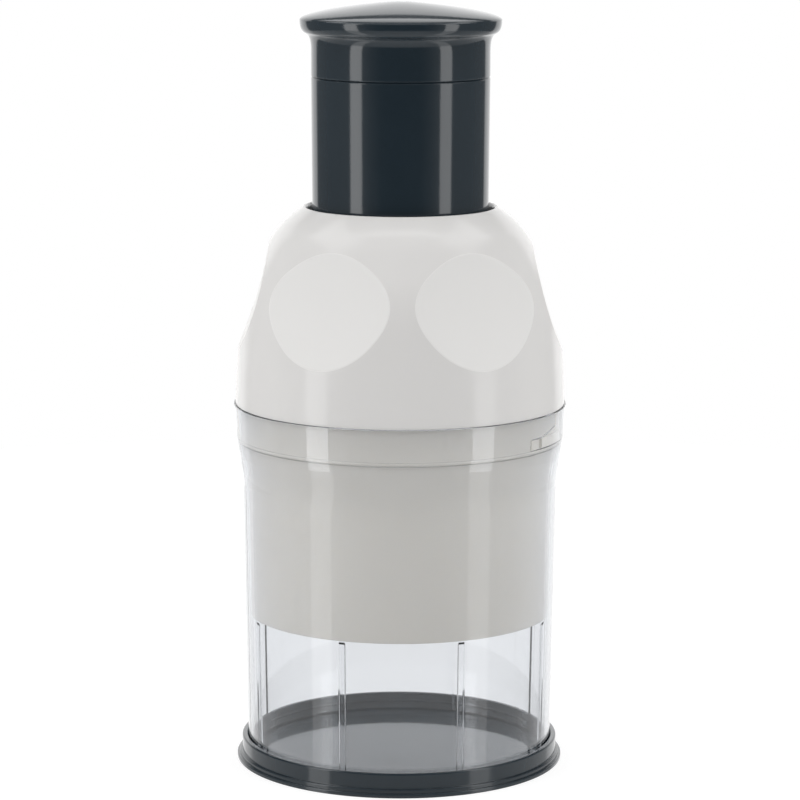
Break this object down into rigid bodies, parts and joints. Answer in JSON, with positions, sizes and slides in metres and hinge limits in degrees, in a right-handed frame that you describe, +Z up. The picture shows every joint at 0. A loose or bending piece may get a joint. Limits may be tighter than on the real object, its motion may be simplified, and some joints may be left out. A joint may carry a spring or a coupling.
{
  "type": "plunger food chopper",
  "caption": "Hand chopper: a sprung handle pushes a zigzag blade down into a clear round container on a push-fit base.",
  "frame": {"origin": "centre of the base's foot, on the table", "axes": "+Z up along the plunger's axis, -Y towards the front between two finger dishes, +X to the right"},
  "size_m": [0.1032, 0.1032, 0.2368],
  "materials": {
    "dark_plastic": "glossy blue-black",
    "clear_plastic": "clear polished plastic",
    "white_plastic": "glossy warm white",
    "milky_plastic": "milky grey-white",
    "acetal": "smooth natural white",
    "rubber": "matt black",
    "steel": "drawn steel",
    "blade_steel": "ground stainless steel"
  },
  "bodies": {
    "base": {"base_cap": "dark_plastic"},
    "container": {"container": "clear_plastic"},
    "head": {"housing": "white_plastic", "guard_cup": "milky_plastic", "scraper_retainer": "milky_plastic", "bridge": "acetal", "bridge_screws": "steel", "ratchet_pawls": "acetal", "ratchet_cover": "acetal", "cover_screws": "steel", "stroke_buffer": "rubber", "guide_ring": "acetal", "return_spring": "steel"},
    "handle": {"handle_cap": "dark_plastic", "handle_sleeve": "dark_plastic", "handle_core": "dark_plastic", "core_screws": "steel", "return_bumper": "rubber"},
    "rotor": {"scraper_disc": "milky_plastic"},
    "blade_unit": {"blade": "blade_steel", "blade_carrier": "white_plastic", "plunger_rod": "steel", "rod_pin": "steel"},
    "index": {"index_ring": "acetal"}
  },
  "joints": [
    {"name": "container_lift", "type": "slide", "parent": "base", "child": "container", "axis": [0, 0, 1], "range_m": [0, 0.03]},
    {"name": "head_twist", "type": "hinge", "parent": "container", "child": "head", "pos_m": [0, 0, 0.113], "axis": [0, 0, 1], "range_deg": [0, 22]},
    {"name": "plunger_stroke", "type": "slide", "parent": "head", "child": "handle", "axis": [0, 0, -1], "range_m": [0, 0.0467], "stiffness_N_per_m": 500, "springref_m": -0.02, "deforming": ["return_spring"]},
    {"name": "blade_index", "type": "hinge", "parent": "head", "child": "rotor", "pos_m": [0, 0, 0.0497], "axis": [0, 0, 1], "continuous": true},
    {"name": "blade_drop", "type": "slide", "parent": "rotor", "child": "blade_unit", "axis": [0, 0, -1], "range_m": [0, 0.0467]},
    {"name": "index_ring_spin", "type": "hinge", "parent": "rotor", "child": "index", "pos_m": [0, 0, 0.107], "axis": [0, 0, 1], "range_deg": [0, 60]}
  ],
  "couplings": [
    {"joint": "blade_drop", "follows": "plunger_stroke", "ratio": 1},
    {"joint": "index_ring_spin", "follows": "plunger_stroke", "rad_per_m": 21.817}
  ]
}
